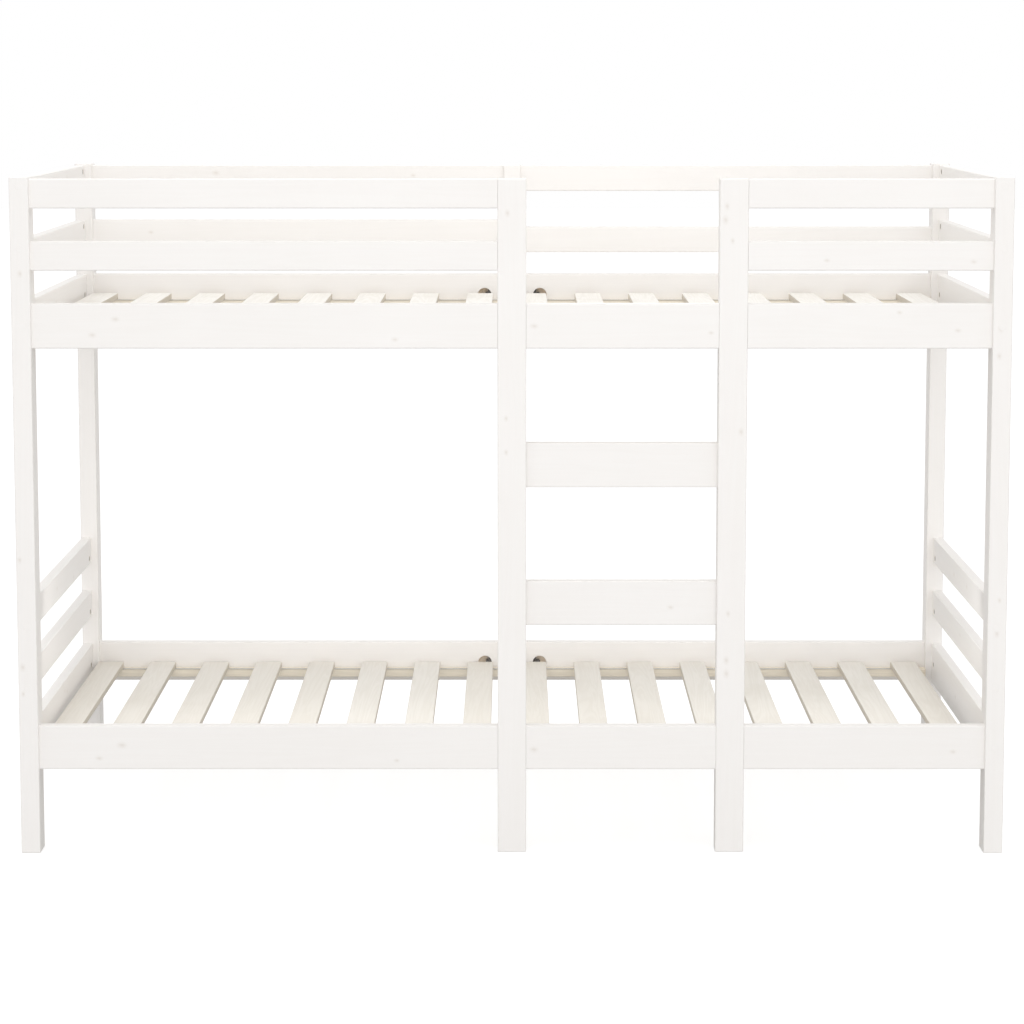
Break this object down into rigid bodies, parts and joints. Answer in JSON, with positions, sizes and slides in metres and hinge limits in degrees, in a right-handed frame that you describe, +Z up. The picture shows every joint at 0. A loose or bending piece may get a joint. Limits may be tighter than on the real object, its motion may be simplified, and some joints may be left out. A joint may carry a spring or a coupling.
{
  "type": "bunk bed",
  "caption": "Painted pine bunk bed: two slatted single beds one above the other, with guard boards and an upright ladder set into the front.",
  "frame": {"origin": "on the floor, under the middle of the bed", "axes": "+X along the bed to the end nearer the ladder, +Y towards the wall side, +Z up; the ladder is on the -Y side"},
  "size_m": [2.075, 0.995, 1.427],
  "materials": {
    "post_paint": "white satin paint on planed pine",
    "board_paint": "white satin paint on planed pine",
    "rung_paint": "white satin paint on planed pine",
    "cleat_wood": "bare sawn pine, matt",
    "slat_wood": "pale planed wood, matt",
    "dark_steel": "dark zinc plate"
  },
  "bodies": {
    "root": {"corner_post_back_left": "post_paint", "corner_post_back_right": "post_paint", "corner_post_front_left": "post_paint", "corner_post_front_right": "post_paint", "half_moon_washer_lower_left": "dark_steel", "half_moon_washer_lower_right": "dark_steel", "half_moon_washer_upper_left": "dark_steel", "half_moon_washer_upper_right": "dark_steel", "hex_nut_lower": "dark_steel", "hex_nut_upper": "dark_steel", "ladder_post_left": "post_paint", "ladder_post_right": "post_paint", "ladder_rung_high": "rung_paint", "ladder_rung_low": "rung_paint", "lower_cleat_back_left": "cleat_wood", "lower_cleat_back_right": "cleat_wood", "lower_cleat_front_left": "cleat_wood", "lower_cleat_front_middle": "cleat_wood", "lower_cleat_front_right": "cleat_wood", "lower_end_guard_high_left": "board_paint", "lower_end_guard_high_right": "board_paint", "lower_end_guard_low_left": "board_paint", "lower_end_guard_low_right": "board_paint", "lower_rail_back_left": "board_paint", "lower_rail_back_right": "board_paint", "lower_rail_end_left": "board_paint", "lower_rail_end_right": "board_paint", "lower_rail_front_left": "board_paint", "lower_rail_front_middle": "board_paint", "lower_rail_front_right": "board_paint", "lower_slat_base": "slat_wood", "middle_bolt_lower": "dark_steel", "middle_bolt_upper": "dark_steel", "middle_post_back": "post_paint", "second_guard_back_left": "board_paint", "second_guard_back_right": "board_paint", "second_guard_end_left": "board_paint", "second_guard_end_right": "board_paint", "second_guard_front_left": "board_paint", "second_guard_front_right": "board_paint", "top_guard_back_left": "board_paint", "top_guard_back_right": "board_paint", "top_guard_end_left": "board_paint", "top_guard_end_right": "board_paint", "top_guard_front_left": "board_paint", "top_guard_front_right": "board_paint", "upper_cleat_back_left": "cleat_wood", "upper_cleat_back_right": "cleat_wood", "upper_cleat_front_left": "cleat_wood", "upper_cleat_front_middle": "cleat_wood", "upper_cleat_front_right": "cleat_wood", "upper_rail_back_left": "board_paint", "upper_rail_back_right": "board_paint", "upper_rail_end_left": "board_paint", "upper_rail_end_right": "board_paint", "upper_rail_front_left": "board_paint", "upper_rail_front_middle": "board_paint", "upper_rail_front_right": "board_paint", "upper_slat_base": "slat_wood"}
  },
  "joints": []
}
